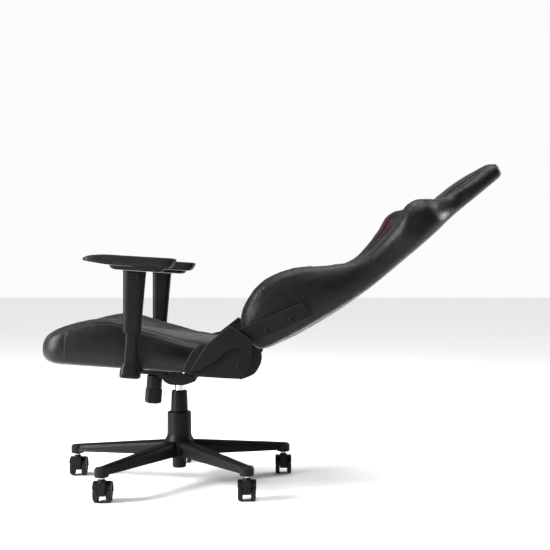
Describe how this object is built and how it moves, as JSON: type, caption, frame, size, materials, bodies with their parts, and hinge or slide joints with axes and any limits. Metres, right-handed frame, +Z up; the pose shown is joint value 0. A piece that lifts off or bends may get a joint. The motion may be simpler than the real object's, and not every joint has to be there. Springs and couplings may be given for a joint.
{
  "type": "gaming chair",
  "caption": "Reclining gaming chair with side bolsters, adjustable armrests, gas lift and a five-legged caster base, back leaned far down.",
  "frame": {"origin": "on the floor, under the middle of the bounding box with the back reclined; the gas lift stands 288 mm in front of it", "axes": "+Z up; -Y is the way the sitter faces; +X is the sitter's left"},
  "size_m": [0.72, 1.2947, 0.9413],
  "materials": {
    "leatherette": "satin",
    "satin_plastic": "satin",
    "nylon": "satin",
    "caster_tread": "matte",
    "black_steel": "satin",
    "bright_steel": "satin",
    "chrome": "polished",
    "arm_pad_skin": "matte",
    "red_thread": "matte",
    "black_thread": "matte"
  },
  "bodies": {
    "base": {"star_base": "nylon", "column_tube": "black_steel", "lower_column_cover": "satin_plastic", "upper_column_cover": "satin_plastic", "guide_bush": "nylon", "thrust_bearing": "bright_steel", "caster_1_stem": "bright_steel", "caster_2_stem": "bright_steel", "caster_3_stem": "bright_steel", "caster_4_stem": "bright_steel", "caster_5_stem": "bright_steel"},
    "lift_rod": {"piston_rod": "bright_steel"},
    "mechanism": {"gas_cylinder": "chrome", "tilt_housing": "black_steel", "tilt_shaft": "black_steel", "spring_cup": "satin_plastic", "tension_spring": "bright_steel"},
    "knob": {"tension_knob": "satin_plastic"},
    "height_lever": {"lift_lever": "satin_plastic"},
    "seat": {"seat_plate": "black_steel", "seat_frame": "black_steel", "seat_cushion": "leatherette", "arm_bracket_left": "black_steel", "arm_post_left": "satin_plastic", "recliner_bracket_left": "black_steel", "hinge_pin_left": "bright_steel", "recliner_cover_left": "satin_plastic", "arm_bracket_right": "black_steel", "arm_post_right": "satin_plastic", "recliner_bracket_right": "black_steel", "hinge_pin_right": "bright_steel", "recliner_cover_right": "satin_plastic"},
    "back": {"back_bar_left": "black_steel", "back_bar_right": "black_steel", "back_frame": "black_steel", "back_cushion": "leatherette"},
    "recline_handle": {"recline_lever": "satin_plastic"},
    "arm_height_left": {"arm_sleeve_left": "satin_plastic"},
    "arm_key_left": {"arm_button_left": "satin_plastic"},
    "arm_turn_left": {"arm_slider_left": "satin_plastic"},
    "arm_rest_left": {"arm_pad_left": "arm_pad_skin"},
    "arm_height_right": {"arm_sleeve_right": "satin_plastic"},
    "arm_key_right": {"arm_button_right": "satin_plastic"},
    "arm_turn_right": {"arm_slider_right": "satin_plastic"},
    "arm_rest_right": {"arm_pad_right": "arm_pad_skin"},
    "caster_1": {"caster_1_hood": "nylon"},
    "caster_1_roll_left": {"caster_1_wheel_left": "caster_tread"},
    "caster_1_roll_right": {"caster_1_wheel_right": "caster_tread"},
    "caster_2": {"caster_2_hood": "nylon"},
    "caster_2_roll_left": {"caster_2_wheel_left": "caster_tread"},
    "caster_2_roll_right": {"caster_2_wheel_right": "caster_tread"},
    "caster_3": {"caster_3_hood": "nylon"},
    "caster_3_roll_left": {"caster_3_wheel_left": "caster_tread"},
    "caster_3_roll_right": {"caster_3_wheel_right": "caster_tread"},
    "caster_4": {"caster_4_hood": "nylon"},
    "caster_4_roll_left": {"caster_4_wheel_left": "caster_tread"},
    "caster_4_roll_right": {"caster_4_wheel_right": "caster_tread"},
    "caster_5": {"caster_5_hood": "nylon"},
    "caster_5_roll_left": {"caster_5_wheel_left": "caster_tread"},
    "caster_5_roll_right": {"caster_5_wheel_right": "caster_tread"}
  },
  "joints": [
    {"name": "seat_swivel", "type": "hinge", "parent": "base", "child": "lift_rod", "pos_m": [0, -0.288, 0.1], "axis": [0, 0, 1], "continuous": true},
    {"name": "seat_height", "type": "slide", "parent": "lift_rod", "child": "mechanism", "axis": [0, 0, 1], "range_m": [-0.015, 0.085]},
    {"name": "tension_adjust", "type": "hinge", "parent": "mechanism", "child": "knob", "pos_m": [0, -0.361, 0.3277], "axis": [0, -0.0698, -0.9976], "continuous": true},
    {"name": "height_release", "type": "hinge", "parent": "mechanism", "child": "height_lever", "pos_m": [-0.059, -0.288, 0.3272], "axis": [0, 1, 0], "range_deg": [0, 5], "stiffness_Nm_per_rad": 6, "springref_deg": -5.73},
    {"name": "seat_rock", "type": "hinge", "parent": "mechanism", "child": "seat", "pos_m": [0, -0.324, 0.3277], "axis": [-1, 0, 0], "range_deg": [0, 10], "stiffness_Nm_per_rad": 150, "springref_deg": -20.05},
    {"name": "back_recline", "type": "hinge", "parent": "seat", "child": "back", "pos_m": [0, -0.118, 0.4327], "axis": [1, 0, 0], "range_deg": [-10, 54]},
    {"name": "recline_release", "type": "hinge", "parent": "seat", "child": "recline_handle", "pos_m": [-0.301, -0.118, 0.4327], "axis": [-1, 0, 0], "range_deg": [0, 25], "stiffness_Nm_per_rad": 3, "springref_deg": -11.46},
    {"name": "arm_height_left", "type": "slide", "parent": "seat", "child": "arm_height_left", "axis": [0, 0.0663, 0.9978], "range_m": [-0.07, 0.01]},
    {"name": "arm_button_left", "type": "slide", "parent": "arm_height_left", "child": "arm_key_left", "axis": [-1, 0, 0], "range_m": [0, 0.003], "stiffness_N_per_m": 400, "springref_m": -0.002},
    {"name": "arm_swivel_left", "type": "hinge", "parent": "arm_height_left", "child": "arm_turn_left", "pos_m": [0.312, -0.37222, 0.63791], "axis": [0, 0.0663, 0.9978], "range_deg": [-20, 20]},
    {"name": "arm_slide_left", "type": "slide", "parent": "arm_turn_left", "child": "arm_rest_left", "axis": [0, 0.9978, -0.0663], "range_m": [-0.025, 0.025]},
    {"name": "arm_height_right", "type": "slide", "parent": "seat", "child": "arm_height_right", "axis": [0, 0.0663, 0.9978], "range_m": [-0.07, 0.01]},
    {"name": "arm_button_right", "type": "slide", "parent": "arm_height_right", "child": "arm_key_right", "axis": [1, 0, 0], "range_m": [0, 0.003], "stiffness_N_per_m": 400, "springref_m": -0.002},
    {"name": "arm_swivel_right", "type": "hinge", "parent": "arm_height_right", "child": "arm_turn_right", "pos_m": [-0.312, -0.37222, 0.63791], "axis": [0, 0.0663, 0.9978], "range_deg": [-20, 20]},
    {"name": "arm_slide_right", "type": "slide", "parent": "arm_turn_right", "child": "arm_rest_right", "axis": [0, 0.9978, -0.0663], "range_m": [-0.025, 0.025]},
    {"name": "caster_1_swivel", "type": "hinge", "parent": "base", "child": "caster_1", "pos_m": [0.26108, -0.07809, 0.0667], "axis": [0, 0, 1], "continuous": true},
    {"name": "caster_1_roll_left", "type": "hinge", "parent": "caster_1", "child": "caster_1_roll_left", "pos_m": [0.24308, -0.06009, 0.0275], "axis": [0, 1, 0], "continuous": true},
    {"name": "caster_1_roll_right", "type": "hinge", "parent": "caster_1", "child": "caster_1_roll_right", "pos_m": [0.24308, -0.09609, 0.0275], "axis": [0, 1, 0], "continuous": true},
    {"name": "caster_2_swivel", "type": "hinge", "parent": "base", "child": "caster_2", "pos_m": [-0.11896, 0.02517, 0.0667], "axis": [0, 0, 1], "continuous": true},
    {"name": "caster_2_roll_left", "type": "hinge", "parent": "caster_2", "child": "caster_2_roll_left", "pos_m": [-0.13696, 0.04317, 0.0275], "axis": [0, 1, 0], "continuous": true},
    {"name": "caster_2_roll_right", "type": "hinge", "parent": "caster_2", "child": "caster_2_roll_right", "pos_m": [-0.13696, 0.00717, 0.0275], "axis": [0, 1, 0], "continuous": true},
    {"name": "caster_3_swivel", "type": "hinge", "parent": "base", "child": "caster_3", "pos_m": [-0.3346, -0.30436, 0.0667], "axis": [0, 0, 1], "continuous": true},
    {"name": "caster_3_roll_left", "type": "hinge", "parent": "caster_3", "child": "caster_3_roll_left", "pos_m": [-0.3166, -0.32236, 0.0275], "axis": [0, 1, 0], "continuous": true},
    {"name": "caster_3_roll_right", "type": "hinge", "parent": "caster_3", "child": "caster_3_roll_right", "pos_m": [-0.3166, -0.28636, 0.0275], "axis": [0, 1, 0], "continuous": true},
    {"name": "caster_4_swivel", "type": "hinge", "parent": "base", "child": "caster_4", "pos_m": [-0.08783, -0.61128, 0.0667], "axis": [0, 0, 1], "continuous": true},
    {"name": "caster_4_roll_left", "type": "hinge", "parent": "caster_4", "child": "caster_4_roll_left", "pos_m": [-0.10583, -0.59328, 0.0275], "axis": [0, 1, 0], "continuous": true},
    {"name": "caster_4_roll_right", "type": "hinge", "parent": "caster_4", "child": "caster_4_roll_right", "pos_m": [-0.10583, -0.62928, 0.0275], "axis": [0, 1, 0], "continuous": true},
    {"name": "caster_5_swivel", "type": "hinge", "parent": "base", "child": "caster_5", "pos_m": [0.28032, -0.47143, 0.0667], "axis": [0, 0, 1], "continuous": true},
    {"name": "caster_5_roll_left", "type": "hinge", "parent": "caster_5", "child": "caster_5_roll_left", "pos_m": [0.26232, -0.45343, 0.0275], "axis": [0, 1, 0], "continuous": true},
    {"name": "caster_5_roll_right", "type": "hinge", "parent": "caster_5", "child": "caster_5_roll_right", "pos_m": [0.26232, -0.48943, 0.0275], "axis": [0, 1, 0], "continuous": true}
  ]
}
